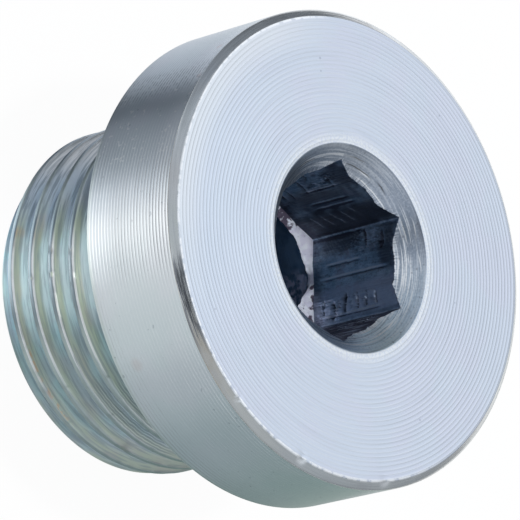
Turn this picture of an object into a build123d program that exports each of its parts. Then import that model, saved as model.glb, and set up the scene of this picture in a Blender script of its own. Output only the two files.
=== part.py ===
from build123d import *
from math import radians, tan
import os

# Hex socket plug M18 x 1.5: a plain collar with a hex socket in its face, and a threaded shank.
# It is turned, drilled, broached and threaded in one piece of steel.
#
# Millimetres. The plug stands on the end of its shank. The origin is the centre of that end,
# and +Z is the plug's axis, pointing out of the face of the collar.

# Collar
LENGTH = 17.0
COLLAR_DIAMETER = 24.0
COLLAR_THICKNESS = 6.15
FACE_BEVEL_WIDTH = 0.40
FACE_BEVEL_DEPTH = 0.30
REAR_EDGE_BREAK = 0.12

# External thread, M18 x 1.5 right-hand, tolerance 6g
THREAD_PITCH = 1.5
THREAD_ANGLE = 60
CREST_DIAMETER = 17.85
ROOT_DIAMETER = 16.16
CREST_FLAT = 0.27
CREST_HEIGHT_AT_X = 0.64
THREAD_TURNS = 8
END_CHAMFER = 1.15

# Relief under the collar, where the thread runs out
RELIEF_DIAMETER = 15.7
RELIEF_WIDTH = 1.6
RELIEF_FILLET = 0.4

# Socket: a pilot hole, drilled and countersunk, then broached to a hexagon over part of its depth
ACROSS_FLATS = 8.0
HEX_DEPTH = 6.8
PILOT_DIAMETER = 8.24
PILOT_DEPTH = 9.6
DRILL_POINT_ANGLE = 118
COUNTERSINK_DIAMETER = 10.5
COUNTERSINK_ANGLE = 90

collar_radius = COLLAR_DIAMETER / 2
crest_radius = CREST_DIAMETER / 2
relief_radius = RELIEF_DIAMETER / 2
pilot_radius = PILOT_DIAMETER / 2
sealing_face = LENGTH - COLLAR_THICKNESS
relief_start = sealing_face - RELIEF_WIDTH
thread_end = relief_start - (crest_radius - relief_radius)

# One turn of the thread groove, to be cut from the shank. It reaches a little past the crests,
# and it is the turn that runs out in the relief.
GROOVE_OVERCUT = 0.1
run_out_height = sealing_face - RELIEF_WIDTH / 2
run_out_angle = 360 * (run_out_height - CREST_HEIGHT_AT_X) / THREAD_PITCH - 180
flank_slope = tan(radians(THREAD_ANGLE / 2))
groove_depth = (CREST_DIAMETER - ROOT_DIAMETER) / 2
half_mouth = (THREAD_PITCH - CREST_FLAT) / 2
half_root = half_mouth - groove_depth * flank_slope
half_top = half_mouth + GROOVE_OVERCUT * flank_slope

with BuildPart() as groove_turn:
    with BuildLine(Plane.XY.rotated((0, 0, run_out_angle))) as turn:
        Helix(THREAD_PITCH, THREAD_PITCH, crest_radius, center=(0, 0, run_out_height - THREAD_PITCH))
    turn_start = turn.line @ 0
    outwards = (turn_start.X, turn_start.Y, 0)
    with BuildSketch(Plane(turn_start, x_dir=outwards, z_dir=turn.line % 0)):
        with BuildLine():
            Polyline(
                (-groove_depth, half_root),
                (-groove_depth, -half_root),
                (GROOVE_OVERCUT, -half_top),
                (GROOVE_OVERCUT, half_top),
                close=True,
            )
        make_face()
    sweep(path=turn.line, is_frenet=True)

with BuildPart() as plug:
    # Turned blank, from half of its section, drawn from the shank's end up to the face
    with BuildSketch(Plane.XZ) as section:
        with BuildLine():
            Polyline(
                (0, 0),
                (crest_radius - END_CHAMFER, 0),
                (crest_radius, END_CHAMFER),
                (crest_radius, thread_end),
                (relief_radius, relief_start),
                (relief_radius, sealing_face),
                (collar_radius, sealing_face),
                (collar_radius, LENGTH - FACE_BEVEL_DEPTH),
                (collar_radius - FACE_BEVEL_WIDTH, LENGTH),
                (0, LENGTH),
                close=True,
            )
        make_face()
        relief_corners = section.vertices().filter_by_position(Axis.X, relief_radius, relief_radius)
        fillet(relief_corners, RELIEF_FILLET)
    revolve(axis=Axis.Z)
    rear_edge = plug.edges().filter_by(GeomType.CIRCLE).filter_by_position(Axis.Z, sealing_face, sealing_face)
    chamfer(rear_edge.sort_by(SortBy.RADIUS)[-1], REAR_EDGE_BREAK)

    # Pilot hole with its countersink and drill point
    with Locations((0, 0, LENGTH)):
        CounterSinkHole(pilot_radius, COUNTERSINK_DIAMETER / 2, PILOT_DEPTH, COUNTERSINK_ANGLE)
    with Locations((0, 0, LENGTH - PILOT_DEPTH)):
        point_length = pilot_radius / tan(radians(DRILL_POINT_ANGLE / 2))
        tip_down = (Align.CENTER, Align.CENTER, Align.MAX)
        Cone(0, pilot_radius, point_length, align=tip_down, mode=Mode.SUBTRACT)

    # Broached hexagon, with two of its corners on the X axis
    with BuildSketch(Plane.XY.offset(LENGTH)):
        RegularPolygon(ACROSS_FLATS / 2, 6, major_radius=False)
    extrude(amount=-HEX_DEPTH, mode=Mode.SUBTRACT)

    # Thread, cut turn by turn from the relief to past the end of the shank
    with Locations(*[(0, 0, -turn_number * THREAD_PITCH) for turn_number in range(THREAD_TURNS)]):
        add(groove_turn.part, mode=Mode.SUBTRACT)

plug.part.label = "plug"

os.makedirs("parts", exist_ok=True)
export_step(plug.part, "parts/plug.step")
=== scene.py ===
from math import cos, pi, radians, sin, tan
from random import Random

import bmesh
import bpy
import numpy as np
from mathutils import Matrix, Vector, noise


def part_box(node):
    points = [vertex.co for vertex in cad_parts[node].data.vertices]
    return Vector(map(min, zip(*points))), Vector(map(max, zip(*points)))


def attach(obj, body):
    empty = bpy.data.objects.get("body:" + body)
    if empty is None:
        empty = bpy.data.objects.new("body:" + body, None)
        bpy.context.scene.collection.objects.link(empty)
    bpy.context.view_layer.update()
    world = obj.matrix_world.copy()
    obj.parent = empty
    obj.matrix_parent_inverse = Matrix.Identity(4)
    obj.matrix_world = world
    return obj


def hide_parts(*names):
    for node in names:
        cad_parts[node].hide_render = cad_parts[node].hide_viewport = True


# Hex socket plug M18 x 1.5, zinc plated, standing on the end of its shank on a white studio floor.
# Shapes are worked out in millimetres and scaled to metres when the mesh is made. Angles run round
# the Z axis from +X.

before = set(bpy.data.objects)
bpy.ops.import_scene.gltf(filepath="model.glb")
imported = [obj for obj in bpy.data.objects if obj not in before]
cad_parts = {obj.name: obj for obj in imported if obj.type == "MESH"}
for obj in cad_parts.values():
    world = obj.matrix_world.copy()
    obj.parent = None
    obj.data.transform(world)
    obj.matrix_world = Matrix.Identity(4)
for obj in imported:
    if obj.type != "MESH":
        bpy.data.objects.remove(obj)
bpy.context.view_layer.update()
MM = 0.001

# ---- sizes, millimetres and degrees

plug_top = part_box("plug")[1]
LENGTH = plug_top.z / MM
COLLAR_RADIUS = plug_top.x / MM

COLLAR_THICKNESS = 6.15
SEALING_FACE = LENGTH - COLLAR_THICKNESS
BEVEL_DEPTH = 0.30
BEVEL_FOOT = LENGTH - BEVEL_DEPTH

PITCH = 1.5
THREAD_ANGLE = 60
FLANK_SLOPE = tan(radians(THREAD_ANGLE / 2))
CREST_RADIUS = 8.925
ROOT_RADIUS = 8.08
CREST_FLAT = 0.27
CREST_HEIGHT_AT_X = 0.64
END_CHAMFER = 1.15

RELIEF_RADIUS = 7.85
RELIEF_WIDTH = 1.6
RELIEF_START = SEALING_FACE - RELIEF_WIDTH
RELIEF_FILLET = 0.4
# The flank of the relief slopes at 45 degrees and meets its floor in a fillet that takes this much of each.
FILLET_TANGENT = RELIEF_FILLET * tan(pi / 8)
RELIEF_FLOOR = RELIEF_START + FILLET_TANGENT

SIDES = 6
HALF_FLATS = 4.0
HEX_DEPTH = 6.8
LEDGE_HEIGHT = LENGTH - HEX_DEPTH
MOUTH_RADIUS = 5.25
PILOT_RADIUS = 4.12
PILOT_DEPTH = 9.6
DRILL_ANGLE = 118
DRILL_SLOPE = 1 / tan(radians(DRILL_ANGLE / 2))
DRILL_TIP = LENGTH - PILOT_DEPTH - DRILL_SLOPE * PILOT_RADIUS

# Points to a ring, and rows of points down the socket's wall
COLUMNS = 360
RIM_COLUMNS = 720
SOCKET_COLUMNS = 540
WALL_ROWS = 66


# ---- mesh

class Skin:
    """A closed skin of rings round the Z axis, laid from the shank's end out, up and into the socket.

    Each point has a value of wear and painted light: above 0 it lightens, for burrs, bright edges and painted
    highlights, and below 0 it darkens, for torn hollows and painted shade.
    """

    def __init__(self):
        self.points = []
        self.wear_and_painted_light = []
        self.faces = []
        self.slots = []
        self.count = 0

    def add_points(self, points, wear_and_painted_light):
        self.points.append(points)
        self.wear_and_painted_light.append(np.broadcast_to(wear_and_painted_light, len(points)))
        self.count += len(points)

    def ring(self, radius, height, columns=COLUMNS, wear_and_painted_light=0.0):
        """Adds one ring. Radius, height and wear are numbers, or one value a column."""
        angle = angles(columns)
        height = np.broadcast_to(height, columns)
        self.add_points(np.column_stack((radius * np.cos(angle), radius * np.sin(angle), height)), wear_and_painted_light)
        return np.arange(self.count - columns, self.count)

    def add_faces(self, faces, slot):
        self.faces += faces
        self.slots += [slot] * len(faces)

    def join(self, first, second, slot):
        """Quads between two rings of as many columns, the second one further along the skin."""
        first_next, second_next = np.roll(first, -1), np.roll(second, -1)
        self.add_faces(np.column_stack((first, first_next, second_next, second)).tolist(), slot)
        return second

    def bridge(self, first, second, slot):
        """Triangles between two rings of different numbers of columns."""
        i, j, made = 0, 0, []
        while i < len(first) or j < len(second):
            corner, across = first[i % len(first)], second[j % len(second)]
            if (i + 1) / len(first) <= (j + 1) / len(second):
                i += 1
                made.append((corner, first[i % len(first)], across))
            else:
                j += 1
                made.append((corner, second[j % len(second)], across))
        self.add_faces(made, slot)
        return second

    def rings(self, previous, profile, slot, columns=COLUMNS):
        """Goes on from a ring through a profile of (radius, height) points."""
        for radius, height in profile:
            previous = self.join(previous, self.ring(radius, height, columns), slot)
        return previous

    def cap(self, ring, height, slot, opens):
        """A fan between the axis and a ring: opens where the skin starts, and closes it where it ends."""
        self.add_points(np.array([[0.0, 0.0, height]]), 0.0)
        centre = np.full(len(ring), self.count - 1)
        following = np.roll(ring, -1)
        fan = (centre, following, ring) if opens else (ring, following, centre)
        self.add_faces(np.column_stack(fan).tolist(), slot)

    def object(self, name, materials, nicks):
        mesh = bpy.data.meshes.new(name)
        points, wear_and_painted_light = nicked(np.concatenate(self.points), np.concatenate(self.wear_and_painted_light), nicks)
        mesh.from_pydata(points * MM, [], self.faces)
        mesh.attributes.new("wear_and_painted_light", "FLOAT", "POINT").data.foreach_set("value", wear_and_painted_light)
        for material in materials:
            mesh.materials.append(material)
        mesh.polygons.foreach_set("material_index", self.slots)
        return add_object(name, mesh)


def add_object(name, data):
    """A new object in the scene."""
    made = bpy.data.objects.new(name, data)
    bpy.context.scene.collection.objects.link(made)
    return made


def angles(columns):
    return np.arange(columns) * 2 * pi / columns


def smooth_min(a, b, width):
    blend = np.maximum(width - np.abs(a - b), 0) / width
    return np.minimum(a, b) - blend * blend * width / 4


def smooth_max(a, b, width):
    return -smooth_min(-a, -b, width)


def smooth_step(value, low, high):
    share = np.clip((value - low) / (high - low), 0, 1)
    return share * share * (3 - 2 * share)


def window(value, low, high, soft):
    """1 between low and high and 0 outside, softened at both ends."""
    return smooth_step(value, low - soft, low + soft) * (1 - smooth_step(value, high - soft, high + soft))


def rough(x, y, z=0.0):
    """Smooth noise from -1 to 1 at each point of three grids."""
    grids = np.broadcast_arrays(x, y, z)
    values = [noise.noise(place) for place in zip(*(grid.ravel().tolist() for grid in grids))]
    return np.array(values).reshape(grids[0].shape)


def rough_round(frequency, level, angle, radius=1.0):
    """Smooth noise from -1 to 1 along rings round the axis."""
    return rough(frequency * radius * np.cos(angle), frequency * radius * np.sin(angle), level)


# ---- threaded shank

CREST_ROUNDING = 0.07
ROOT_ROUNDING = 0.12
# The thread runs up the shank as one long strip of helical rows: their heights above a crest, up to the
# middle of the root and on to the next crest, and how many turns of them lie past the ends of the shank.
ROW_STEPS = (0, 0.09, 0.15, 0.25, 0.42, 0.56, 0.65)
ROW_OFFSETS = ROW_STEPS + (PITCH / 2,) + tuple(PITCH - step for step in ROW_STEPS[:0:-1])
ROWS_PER_TURN = len(ROW_OFFSETS)
TURNS_BELOW = 2
TURNS_ABOVE = 2
# Where the crests are worn: how deep, from which radius out, and how dark
RAGGED_DEPTH = 0.018
RAGGED_FROM = 8.75
RAGGED_WEAR = 0.8


def thread_radius(angle, height):
    """Radius of the thread form, before the end chamfer and the relief."""
    turn = (height - CREST_HEIGHT_AT_X) / PITCH - angle / (2 * pi)
    from_crest = np.abs(turn - np.round(turn)) * PITCH
    flank = CREST_RADIUS - (from_crest - CREST_FLAT / 2) / FLANK_SLOPE
    return smooth_max(smooth_min(flank, CREST_RADIUS, CREST_ROUNDING), ROOT_RADIUS, ROOT_ROUNDING)


def shank_radius(height):
    """Radius of the turned shank: end chamfer, cylinder, and the flank and fillet of the relief."""
    into_fillet = np.clip(RELIEF_FLOOR - height, 0, RELIEF_FILLET * sin(pi / 4))
    fillet = RELIEF_RADIUS + RELIEF_FILLET - np.sqrt(RELIEF_FILLET ** 2 - into_fillet ** 2)
    flank = RELIEF_RADIUS + RELIEF_START - height
    relief = np.where(height < RELIEF_START - FILLET_TANGENT * cos(pi / 4), flank, fillet)
    return np.minimum(CREST_RADIUS, np.minimum(CREST_RADIUS - END_CHAMFER + height, relief))


def thread_rows(angle):
    """Heights of the helical rows, held between the shank's end and the floor of the relief."""
    turns = int(RELIEF_FLOOR / PITCH) + TURNS_BELOW + TURNS_ABOVE
    offsets = np.array([turn * PITCH + offset for turn in range(turns) for offset in ROW_OFFSETS])
    lowest = CREST_HEIGHT_AT_X - TURNS_BELOW * PITCH
    height = lowest + offsets[:, None] + PITCH * angle / (2 * pi)

    # A row next to where the thread runs out of the chamfer or into the relief moves onto that edge.
    margin = thread_radius(angle, height) - shank_radius(height)
    rows, across = np.nonzero(margin[:-1] * margin[1:] < 0)
    share = margin[rows, across] / (margin[rows, across] - margin[rows + 1, across])
    edge = height[rows, across] + share * (height[rows + 1, across] - height[rows, across])
    height[np.where(share < 0.5, rows, rows + 1), across] = edge
    return np.clip(height, 0, RELIEF_FLOOR)


def threaded_shank(skin, slot):
    """Adds the helical rows from the shank's end to the floor of the relief."""
    angle = angles(COLUMNS)
    height = thread_rows(angle)
    radius = np.minimum(thread_radius(angle, height), shank_radius(height))
    ragged = np.maximum(rough_round(2.2, 5 * height, angle, radius), 0)
    ragged *= smooth_step(radius, RAGGED_FROM, CREST_RADIUS)
    radius -= RAGGED_DEPTH * ragged
    rows = [skin.ring(*row[:2], wear_and_painted_light=row[2]) for row in zip(radius, height, -RAGGED_WEAR * ragged)]

    # Each row ends where the one a turn further up begins.
    table = np.array(rows)
    wrapped = np.vstack((table[ROWS_PER_TURN:, :1], np.repeat(table[-1:, :1], ROWS_PER_TURN, axis=0)))
    table = np.hstack((table, wrapped))
    quads = np.stack((table[:-1, :-1], table[:-1, 1:], table[1:, 1:], table[1:, :-1]), axis=-1)
    skin.add_faces(quads.reshape(-1, 4).tolist(), slot)
    return rows[-1]


# ---- socket

# Tears that the broach left across the flats: flat, height, and from where to where across it
TEARS = (
    (0, 13.3, -1.8, -0.9), (0, 14.6, 0.9, 1.9), (0, 12.1, 1.0, 2.0), (1, 10.9, -1.75, -1.0),
    (1, 11.6, -2.0, -1.2), (1, 12.4, -1.85, -0.75), (1, 13.3, -1.8, -1.0), (1, 13.95, -1.7, -1.0),
    (1, 14.6, -1.85, -1.05), (1, 15.1, 1.1, 1.9), (1, 13.9, 1.2, 2.1), (2, 10.9, 0.6, 1.3),
    (2, 11.4, 0.55, 1.25), (2, 12.5, 0.7, 1.7), (2, 13.2, 1.45, 1.95), (2, 14.4, 0.7, 1.55),
    (3, 12.0, -1.9, -0.8), (3, 14.2, 0.9, 2.0), (3, 13.0, 0.8, 1.6), (4, 11.5, 0.9, 1.9),
    (4, 13.6, -2.0, -1.0), (4, 14.9, -1.6, -0.9), (5, 12.7, -1.9, -1.0), (5, 11.2, 1.0, 1.7),
    (5, 14.3, 0.9, 1.8))
TEAR_WIDTH = 0.08
TEAR_HOOK = 0.35
# Lines that the drill and the broach left along the socket: flat, place across it, low and high end
SCORES = (
    (0, -0.5, 11.5, 14.8), (0, 0.2, 11.8, 15.0), (0, 0.7, 11.2, 14.6), (0, 1.1, 12.0, 15.3),
    (0, 1.45, 12.4, 15.5), (1, 0.06, 10.8, 15.2), (1, 0.72, 11.2, 13.5), (1, -1.95, 11.0, 14.9),
    (2, -0.22, 12.0, 14.4), (2, -0.56, 12.1, 14.6), (2, 0.70, 12.5, 14.7), (3, 0.2, 11.0, 15.0),
    (4, -0.4, 11.6, 14.7), (5, 0.3, 11.2, 14.9))
SCORE_WIDTH = 0.055
# Tears and scores have a lip beside them: depth, share of it that the lip stands up, the lip's place in
# widths from the line, then the painted highlight on the lip and the painted shade in the hollow
TEAR_FORM = (0.08, 0.2, 1.7, 0.45, 0.9)
SCORE_FORM = (0.03, 0.3, 1.6, 1.3, 1.0)
# Patches where the broach tore the whole surface: flat, place across it, height, half width and half height
PATCHES = (
    (0, 1.4, 14.0, 0.6, 1.6), (0, -1.2, 13.0, 0.8, 1.8), (1, 1.55, 14.0, 0.7, 1.2),
    (1, -1.55, 11.4, 0.6, 0.9), (1, -1.4, 13.2, 0.6, 1.5), (2, 0.95, 13.7, 0.4, 0.9),
    (2, 1.5, 13.8, 0.6, 1.4), (3, -1.4, 13.6, 0.6, 1.2), (4, 1.5, 13.0, 0.6, 1.6),
    (5, -1.5, 14.2, 0.6, 1.0))
PATCH_DEPTH = 0.07
PATCH_LEVEL = 0.25
PATCH_CRUST = 0.24
# Stretches of painted shade on the flats: flat, place across it, height, half width and half height
SHADED_STRETCHES = (
    (2, -1.55, 13.2, 1.0, 3.6), (2, 0.0, 12.8, 0.9, 2.4), (2, 1.3, 15.4, 1.0, 1.2),
    (1, 1.9, 12.2, 0.7, 1.7), (1, 1.0, 15.4, 1.2, 0.9), (0, 0.0, 12.5, 1.8, 1.4), (4, 1.3, 12.0, 0.9, 2.0),
    (5, -1.2, 13.0, 0.8, 2.4))
STRETCH_SHADE = 0.75
# The flat with fine bright lines drawn down it: their strength, how few of them show, and how dark it is
LINED_FLAT = 0
LINED_WEAR = 6.0
LINED_FROM = 0.14
LINED_SHADE = 0.35
# Fine waves that the broach chattered into the flats
CHATTER_SPACING = 0.5
CHATTER_DEPTH = 0.008
CHATTER_WEAR = 0.22
# A row of slanting ticks: the flat that it is on, and the span across it and up it
TICKED_FLAT = 2
TICK_SPACING = 0.72
TICK_SLANT = 0.5
TICK_WEAR = 1.1
TICKS_ACROSS = (-1.75, -0.85)
TICKS_HEIGHT = (10.9, 14.4)
# Grain drawn down the flats, and the band of each flat that runs into its corners
DRAWN_DEPTH = 0.008
CORNER_BAND = (2.22, 2.30)
CORNER_RISE = 0.015

# Waves of the ragged edge between countersink and flats: depth, frequency and level of the noise
EDGE_WAVES = ((0.035, 11, 0), (0.02, 34, 0), (0.03, 90, 0))
SINK_ROWS = 9
# The wall's foot is lower than the ledge by one figure, and the other higher again in the corners.
FOOT_DROP = 0.08
FOOT_RISE = 0.12

# The broach pushed its chips down to the ledge, where they stand in from the wall as a torn shelf.
SHELF_RADIUS = 3.72
SHELF_DROP = 0.25
SHELF_GAPS = (93, 197, 262, 327)
SHELF_GAP_WIDTH = 9
SHELF_TONGUES = (62, 180, 301)
SHELF_TONGUE_REACH = 0.45
SHELF_TONGUE_WIDTH = 16
SHELF_THICKNESS = 0.15
SHELF_UNDERCUT = 0.12
SHELF_CLEARANCE = 0.03
# Waves of its broken edge and lumps on it: depth, frequency and level of the noise
SHELF_WAVES = ((0.10, 3, 2.0), (0.06, 13, 4.0))
SHELF_LUMPS = ((0.07, 3.5, 0), (0.04, 9, 0))
SHELF_SHARES = (0.12, 0.3, 0.5, 0.7, 0.85, 0.95, 1.0)

# The drilled hole: how far below the shelf and the ledge its rings are, and the rings of its point
BELOW_SHELF = 0.35
BELOW_LEDGE = 1.0
POINT_RINGS = (PILOT_RADIUS, 2.5, 1.0)


def wall_radius(angle):
    """Radius of the socket's wall: a hexagon with corners on X, or the drilled hole where that is larger."""
    from_flat = np.abs(angle % (2 * pi / SIDES) - pi / SIDES)
    return np.maximum(HALF_FLATS / np.cos(from_flat), PILOT_RADIUS)


class Wall:
    """The broached wall over a grid of points: how deep it is torn, in millimetres, and its wear and painted
    light.
    """

    def __init__(self, angle, height):
        self.flat = np.floor(angle * SIDES / (2 * pi))
        self.across = HALF_FLATS * np.tan(angle - (self.flat + 0.5) * 2 * pi / SIDES)
        self.height = height
        self.crumbs = self.grain(9, 7, 3)
        self.bends = self.grain(1.7, 2.0, 5, 40) + 0.5 * self.grain(5, 3, 5, 60)
        self.pits = np.abs(self.grain(7, 2.2, 11)) + 0.6 * np.abs(self.grain(16, 5, 1))
        drawn = self.grain(28, 0.7, 9, 20)
        lined = (self.flat == LINED_FLAT) * (LINED_WEAR * np.maximum(drawn - LINED_FROM, 0) - LINED_SHADE)
        self.depth = DRAWN_DEPTH * self.grain(14, 0.5, 7, 80)
        self.wear_and_painted_light = 0.25 * drawn + lined

    def grain(self, across, along, by_flat, start=0):
        """Noise of some frequency across and along the flats, different on each of them."""
        return rough(across * self.across, along * self.height, by_flat * self.flat + start)

    def line(self, flat, beside, reach, form):
        """A hollow with a lip, painted lighter on the lip as a highlight and darker in the hollow as shade.
        Beside is the distance from its middle in widths, and reach where it shows.
        """
        depth, rise, place, lip_highlight, hollow_shade = form
        hollow, lip = ((self.flat == flat) * reach * np.exp(-(beside - at) ** 2) for at in (0, place))
        self.depth += depth * (hollow - rise * lip)
        self.wear_and_painted_light += lip_highlight * lip - hollow_shade * hollow

    def tear(self, flat, level, first, last):
        hook = TEAR_HOOK * (self.across - first) * (last - self.across)
        width = TEAR_WIDTH * (1 + 0.6 * self.bends)
        beside = (self.height - level + 0.14 * self.bends - hook) / width
        reach = window(self.across + 0.1 * self.crumbs, first, last, 0.16) * (1 + 0.4 * self.crumbs)
        self.line(flat, beside, reach, TEAR_FORM)

    def score(self, flat, middle, low, high):
        beside = (self.across - middle + 0.02 * self.bends) / SCORE_WIDTH
        self.line(flat, beside, window(self.height, low, high, 0.3), SCORE_FORM)

    def oval(self, flat, middle, level, half_width, half_height, waver, whole, end):
        """1 inside a wavering oval on one flat, 0 outside it: whole and end say where it fades."""
        out = np.hypot((self.across - middle) / half_width, (self.height - level) / half_height)
        return (self.flat == flat) * (1 - smooth_step(out + waver * self.bends, whole, end))

    def patch(self, *place):
        reach = self.oval(*place, 0.5, 0.7, 1.1)
        crust = np.maximum(PATCH_CRUST - self.pits, 0) / PATCH_CRUST
        self.depth += PATCH_DEPTH * reach * (self.pits - PATCH_LEVEL)
        self.wear_and_painted_light += reach * (0.9 * crust - 0.5 * self.pits)

    # Painted shade over a stretch of a flat.
    def shade_stretch(self, *place):
        self.wear_and_painted_light -= STRETCH_SHADE * self.oval(*place, 0.3, 0.5, 1.3)

    def chatter(self):
        waves = self.height + 0.25 * self.across ** 2 + 0.2 * self.bends
        chatter = np.cos(2 * pi * waves / CHATTER_SPACING) ** 8
        chatter *= smooth_step(np.abs(self.across), 0.8, 1.2)
        chatter *= smooth_step(self.grain(1.1, 0.8, 17), -0.3, 0.3)
        self.depth -= CHATTER_DEPTH * chatter
        self.wear_and_painted_light += CHATTER_WEAR * chatter

    def ticks(self):
        ticks = np.cos(pi * (self.height + TICK_SLANT * self.across + 0.1 * self.bends) / TICK_SPACING) ** 12
        ticks *= window(self.across, *TICKS_ACROSS, 0.15) * window(self.height, *TICKS_HEIGHT, 0.2)
        self.wear_and_painted_light += TICK_WEAR * ticks * (self.flat == TICKED_FLAT)

    def edges(self):
        """Painted shade darkens the foot of the wall and the way into its corners, and a painted highlight
        brightens the corners.
        """
        above_ledge = self.height - LEDGE_HEIGHT + 0.3 * self.crumbs
        corner = smooth_step(np.abs(self.across), *CORNER_BAND)
        self.depth -= CORNER_RISE * corner
        self.wear_and_painted_light -= 0.6 * (1 - smooth_step(above_ledge, 0.1, 0.9))
        self.wear_and_painted_light -= 0.4 * smooth_step(np.abs(self.across), 1.9, 2.2)
        self.wear_and_painted_light += 1.1 * corner * (1 + self.crumbs)


def torn_wall(angle, height):
    wall = Wall(angle, height)
    marks = ((wall.tear, TEARS), (wall.score, SCORES), (wall.patch, PATCHES), (wall.shade_stretch, SHADED_STRETCHES))
    for mark, places in marks:
        for place in places:
            mark(*place)
    wall.chatter()
    wall.ticks()
    wall.edges()
    return wall.depth, wall.wear_and_painted_light


def socket(skin, face):
    """Countersink, broached wall, torn shelf and the rest of the drilled hole."""
    angle = angles(SOCKET_COLUMNS)
    wall = wall_radius(angle)
    edge = wall + sum(depth * rough_round(*wave, angle) for depth, *wave in EDGE_WAVES)
    edge_height = LENGTH - (MOUTH_RADIUS - edge)

    mouth = MOUTH_RADIUS - MOUTH_ROUNDING
    crumbs = 0.1 + 1.5 * rough_round(110, 3.0, angle)
    face = skin.bridge(face, skin.ring(mouth, LENGTH - MOUTH_ROUNDING, SOCKET_COLUMNS), SINK_SLOT)
    for row in range(1, SINK_ROWS + 1):
        radius = mouth + (edge - mouth) * row / SINK_ROWS
        wear_and_painted_light = crumbs * max(row - SINK_ROWS + 2, 0) / 2
        height = LENGTH - (MOUTH_RADIUS - radius)
        face = skin.join(face, skin.ring(radius, height, SOCKET_COLUMNS, wear_and_painted_light), SINK_SLOT)

    foot = LEDGE_HEIGHT + FOOT_RISE * np.cos(SIDES / 2 * angle) ** 2 - FOOT_DROP
    share = np.linspace(0, 1, WALL_ROWS + 1)[1:, None]
    height = edge_height + (foot - edge_height) * share
    depth, wear_and_painted_light = torn_wall(angle, height)
    wear_and_painted_light[0] += 0.5 * rough_round(25, 9.0, angle)
    fade = smooth_step(edge_height - height, 0, 0.2)
    radius = wall + (edge - wall) * (1 - fade) + depth * fade
    for row in zip(radius, height, [SOCKET_COLUMNS] * WALL_ROWS, wear_and_painted_light):
        face = skin.join(face, skin.ring(*row), WALL_SLOT)
    lip, height = shelf(skin, face, angle, radius[-1], foot)
    drilled_hole(skin, lip, height)


def shelf(skin, face, angle, wall, foot):
    """The shelf of chips, from the foot of the wall in to its broken edge and back underneath."""
    turned = np.degrees(angle)
    gap = sum(np.exp(-((turned - place) / SHELF_GAP_WIDTH) ** 2) for place in SHELF_GAPS)
    tongue = sum(np.exp(-((turned - place) / SHELF_TONGUE_WIDTH) ** 2) for place in SHELF_TONGUES)
    inner = SHELF_RADIUS + sum(depth * rough_round(*wave, angle) for depth, *wave in SHELF_WAVES)
    inner += np.minimum(gap, 1) * (PILOT_RADIUS - SHELF_RADIUS) - SHELF_TONGUE_REACH * tongue
    inner = np.minimum(inner, PILOT_RADIUS - SHELF_CLEARANCE)
    for share in SHELF_SHARES:
        radius = wall + (inner - wall) * share
        lumps = sum(rise * rough_round(*lump, angle, radius) for rise, *lump in SHELF_LUMPS)
        height = foot - SHELF_DROP * share + lumps * min(4 * share, 1)
        face = skin.join(face, skin.ring(radius, height, SOCKET_COLUMNS), SHELF_SLOT)
    underneath = np.minimum(inner + SHELF_UNDERCUT, PILOT_RADIUS)
    face = skin.join(face, skin.ring(underneath, height - SHELF_THICKNESS, SOCKET_COLUMNS), SHELF_SLOT)
    return face, height


def drilled_hole(skin, lip, height):
    """The hole below the shelf, down to the point of the drill."""
    drilled = skin.join(lip, skin.ring(PILOT_RADIUS, height - BELOW_SHELF, SOCKET_COLUMNS), HOLE_SLOT)
    hole = skin.bridge(drilled, skin.ring(PILOT_RADIUS, LEDGE_HEIGHT - BELOW_LEDGE), HOLE_SLOT)
    cone = [(radius, DRILL_TIP + DRILL_SLOPE * radius) for radius in POINT_RINGS]
    hole = skin.rings(hole, cone, HOLE_SLOT)
    skin.cap(hole, DRILL_TIP, HOLE_SLOT, opens=False)


# ---- whole plug

(END_SLOT, THREAD_SLOT, SIDE_SLOT, BEVEL_SLOT, FACE_SLOT,
 SINK_SLOT, WALL_SLOT, SHELF_SLOT, HOLE_SLOT) = range(9)

# Profiles of the collar's edges, as offsets in from its side and up from the sealing face or the bevel's
# foot, and of the mouth of the countersink, as offsets out from its radius and up from the face
REAR_EDGE = ((0.12, 0), (0.07, 0.02), (0.02, 0.07), (0, 0.12), (0, 2.2), (0, 4.2))
BEVEL = ((0.004, -0.015), (0.02, 0.015), (0.12, 0.09), (0.24, 0.18), (0.37, 0.2775))
FACE_RIM = ((0.392, 0.292), (0.42, 0.299), (0.50, 0.30), (0.62, 0.30))
MOUTH_EDGE = ((0.05, 0), (0.012, -0.005))
MOUTH_ROUNDING = 0.02
# Rings on the flat of the shank's end, the sealing face and the face
END_RINGS = (1.0, 4.0, 7.2, CREST_RADIUS - END_CHAMFER)
UNDER_RING = 9.5
UNDER_RIM = COLLAR_RADIUS - 0.22
FACE_RINGS = (COLLAR_RADIUS - 0.9, 9, 7, 5.6)

# Nicks: angle in degrees, radius, height, size and depth
EDGE_NICKS = (
    (-41.7, 11.60, LENGTH, 0.14, 0.05), (-17.9, 11.60, LENGTH, 0.22, 0.08),
    (10.3, 11.55, LENGTH, 0.26, 0.05))
CREST_NICKS = (
    (-87.1, 8.925, 3.36, 0.13, 0.05), (-94.5, 8.925, 4.84, 0.12, 0.05), (-92.8, 8.925, 6.27, 0.12, 0.04),
    (-86.6, 8.925, 4.85, 0.14, 0.06), (-19.1, 8.925, 3.80, 0.30, 0.14))
# A nick on the collar goes down by this share of its depth.
NICK_TILT = 0.5
# More nicks on the crests of the far side: the ranges that they are drawn from
NICK_SEED = 18
FAR_NICKS = 14
FAR_ANGLES = (20, 200)
FAR_TURNS = (1, 4)
FAR_SIZES = (0.12, 0.25)
FAR_DEPTHS = (0.03, 0.09)


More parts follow.
